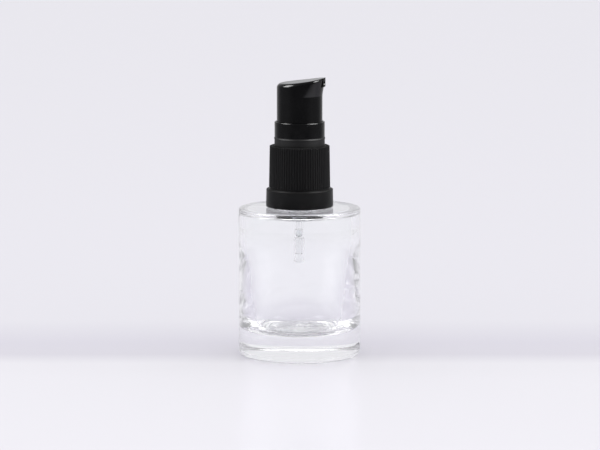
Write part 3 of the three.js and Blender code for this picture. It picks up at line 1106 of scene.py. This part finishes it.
def make_stage():
    """A wide pale sheet that the bottle stands on. Beyond FAR_FLOOR, glossy reflections see an emission in
    REFLECTED_TONES instead of it: a painted reflection, dark on the camera's side.
    """
    mesh = bpy.data.meshes.new("floor")
    corners = [(x * FLOOR_SIZE, y * FLOOR_SIZE, 0) for x, y in ((-1, -1), (1, -1), (1, 1), (-1, 1))]
    mesh.from_pydata(corners, [], [(0, 1, 2, 3)])
    floor = bpy.data.objects.new("floor", mesh)
    bpy.context.scene.collection.objects.link(floor)
    floor.location.z = -FLOOR_DROP
    floor.rotation_euler.z = math.radians(CAMERA_AZIMUTH)
    material, tree, shader, where = new_material("floor_white", Roughness=0.2, Specular_IOR_Level=0.3)
    along = node(tree, "ShaderNodeSeparateXYZ", Vector=where).outputs["Y"]
    # the floor's colour, with its band of painted shade
    tone = ramp(tree, stretch(tree, along, -FLOOR_REACH, FLOOR_REACH), FLOOR_TONES)
    link(tree, tone, shader, "Base Color")
    away = node(tree, "ShaderNodeVectorMath", {"operation": "LENGTH"})
    tree.links.new(where, away.inputs[0])
    far = stretch(tree, away.outputs["Value"], *FAR_FLOOR)
    # painted reflection: what glossy reflections see of the far floor, not the floor's own light
    painted_reflection = node(tree, "ShaderNodeEmission", Color=studio_tone(tree, where, REFLECTED_TONES))
    mixed = node(tree, "ShaderNodeMixShader", Fac=combine(tree, "MULTIPLY", far, reflection_only(tree)))
    tree.links.new(shader.outputs["BSDF"], mixed.inputs[1])
    tree.links.new(painted_reflection.outputs["Emission"], mixed.inputs[2])
    tree.links.new(mixed.outputs["Shader"], tree.nodes["Material Output"].inputs["Surface"])
    mesh.materials.append(material)


def reflection_only(tree):
    """1 for what shows in a glossy reflection, and 0 for what is seen directly, through glass or by its
    light."""
    path = node(tree, "ShaderNodeLightPath").outputs
    outside = combine(tree, "LESS_THAN", path["Transmission Depth"], 0.5)
    glossy = combine(tree, "MULTIPLY", path["Is Glossy Ray"], path["Is Reflection Ray"])
    return combine(tree, "MULTIPLY", glossy, outside)


def studio_tone(tree, place, stops):
    """The tone of the studio in this direction. Its Y runs from the camera's side back."""
    direction = node(tree, "ShaderNodeVectorMath", {"operation": "NORMALIZE"})
    tree.links.new(place, direction.inputs[0])
    along = node(tree, "ShaderNodeSeparateXYZ", Vector=direction.outputs["Vector"]).outputs["Y"]
    return ramp(tree, stretch(tree, along, -1, 1), stops)


def make_light(name, azimuth, size, power):
    """A large soft box that shows only as a reflection. Its azimuth is from the camera."""
    data = bpy.data.lights.new(name, "AREA")
    data.shape = "RECTANGLE"
    data.size, data.size_y = size
    data.energy = power
    light = bpy.data.objects.new(name, data)
    bpy.context.scene.collection.objects.link(light)
    target = Vector((0, 0, BOX_TARGET_Z))
    light.location = from_direction(CAMERA_AZIMUTH + azimuth, BOX_ELEVATION, BOX_DISTANCE, target)
    light.rotation_euler = (target - light.location).to_track_quat("-Z", "Y").to_euler()
    light.visible_camera = False
    light.visible_diffuse = False
    light.visible_transmission = False


def from_direction(azimuth, elevation, distance, target):
    """The point this far from target. Azimuth 0 is on the -Y side and 90 on the +X side, in degrees."""
    a, e = math.radians(azimuth), math.radians(elevation)
    return target + distance * Vector((math.cos(e) * math.sin(a), -math.cos(e) * math.cos(a), math.sin(e)))


def seen_through_glass(tree):
    """1 for what is seen through the glass, and 0 for what lights the floor or is seen or reflected
    directly."""
    path = node(tree, "ShaderNodeLightPath").outputs
    inside = combine(tree, "GREATER_THAN", path["Transmission Depth"], 0.5)
    return combine(tree, "MULTIPLY", inside, combine(tree, "LESS_THAN", path["Diffuse Depth"], 0.5))


def soft_box(tree, direction, azimuth, elevation, spread):
    """1 within a soft-edged round patch of the sky, spread degrees across. Azimuth 0 is at the camera."""
    middle = from_direction(azimuth, elevation, 1, Vector())
    near = node(tree, "ShaderNodeVectorMath", {"operation": "DOT_PRODUCT"})
    tree.links.new(direction, near.inputs[0])
    near.inputs[1].default_value = middle
    edge, core = math.cos(math.radians(spread * 0.6)), math.cos(math.radians(spread * 0.4))
    return stretch(tree, near.outputs["Value"], edge, core)


def mix(tree, factor, low, high):
    """A colour between two, each of them a node's output or a constant. The node has sockets of the same
    name for every data type, so the colours' sockets go by number."""
    made = node(tree, "ShaderNodeMix", {"data_type": "RGBA"})
    tree.links.new(factor, made.inputs["Factor"])
    feed(tree, made.inputs[6], low)
    feed(tree, made.inputs[7], high)
    return made.outputs[2]


def make_world():
    """An even white tent. It shows with REFLECTED_TONES in reflections, as a painted reflection, and through
    the glass a little darker, with painted shade on the camera's side and painted highlights in bright
    patches."""
    world = bpy.data.worlds.new("studio")
    bpy.context.scene.world = world
    world.use_nodes = True
    tree = world.node_tree
    background = tree.nodes["Background"]
    direction = node(tree, "ShaderNodeTexCoord").outputs["Generated"]
    turned_back = (0, 0, -math.radians(CAMERA_AZIMUTH))
    facing = node(tree, "ShaderNodeMapping", Vector=direction, Rotation=turned_back).outputs["Vector"]
    patches = 0.0
    for box in GLASS_BOXES:
        patches = combine(tree, "MAXIMUM", soft_box(tree, facing, *box), patches)
    # painted highlights and painted shade, seen only through the glass
    through = mix(tree, patches, studio_tone(tree, facing, GLASS_TONES), GLASS_BOX_COLOUR)
    tone = mix(tree, seen_through_glass(tree), TENT_COLOUR, through)
    # painted reflection, seen only by glossy reflections
    tone = mix(tree, reflection_only(tree), tone, studio_tone(tree, facing, REFLECTED_TONES))
    tree.links.new(tone, background.inputs["Color"])


def make_camera():
    data = bpy.data.cameras.new("camera")
    data.lens = CAMERA_LENS
    data.sensor_width = CAMERA_SENSOR
    data.shift_x = CAMERA_SHIFT
    data.clip_end = 20.0
    camera = bpy.data.objects.new("camera", data)
    bpy.context.scene.collection.objects.link(camera)
    target = Vector((0, 0, CAMERA_TARGET_Z))
    camera.location = from_direction(CAMERA_AZIMUTH, CAMERA_PITCH, CAMERA_DISTANCE, target)
    camera.rotation_euler = (target - camera.location).to_track_quat("-Z", "Y").to_euler()
    bpy.context.scene.camera = camera


def let_light_through_glass():
    """Thick glass passes light on inside itself many times before the light gets out."""
    paths = bpy.context.scene.cycles
    paths.max_bounces = paths.transmission_bounces = paths.glossy_bounces = GLASS_BOUNCES


def main():
    bpy.context.scene.view_settings.view_transform = "Standard"
    let_light_through_glass()
    make_world()
    make_stage()
    make_light("box_left", -84, size=(0.45, 0.5), power=8)
    make_light("box_right", 78, size=(0.5, 0.5), power=11)
    make_camera()
    natural, white = natural_plastic(), white_plastic()
    make_bottle(clear_glass())
    make_closure(satin_black())
    make_chaplet(chaplet_black())
    make_gasket(white)
    make_housing(natural)
    make_turret(white)
    make_dip_tube(natural)
    make_stem(natural)
    make_piston(white)
    make_piston_seat(natural)
    make_spring(spring_steel())
    make_ball(ball_glass())
    make_head(head_black())


main()
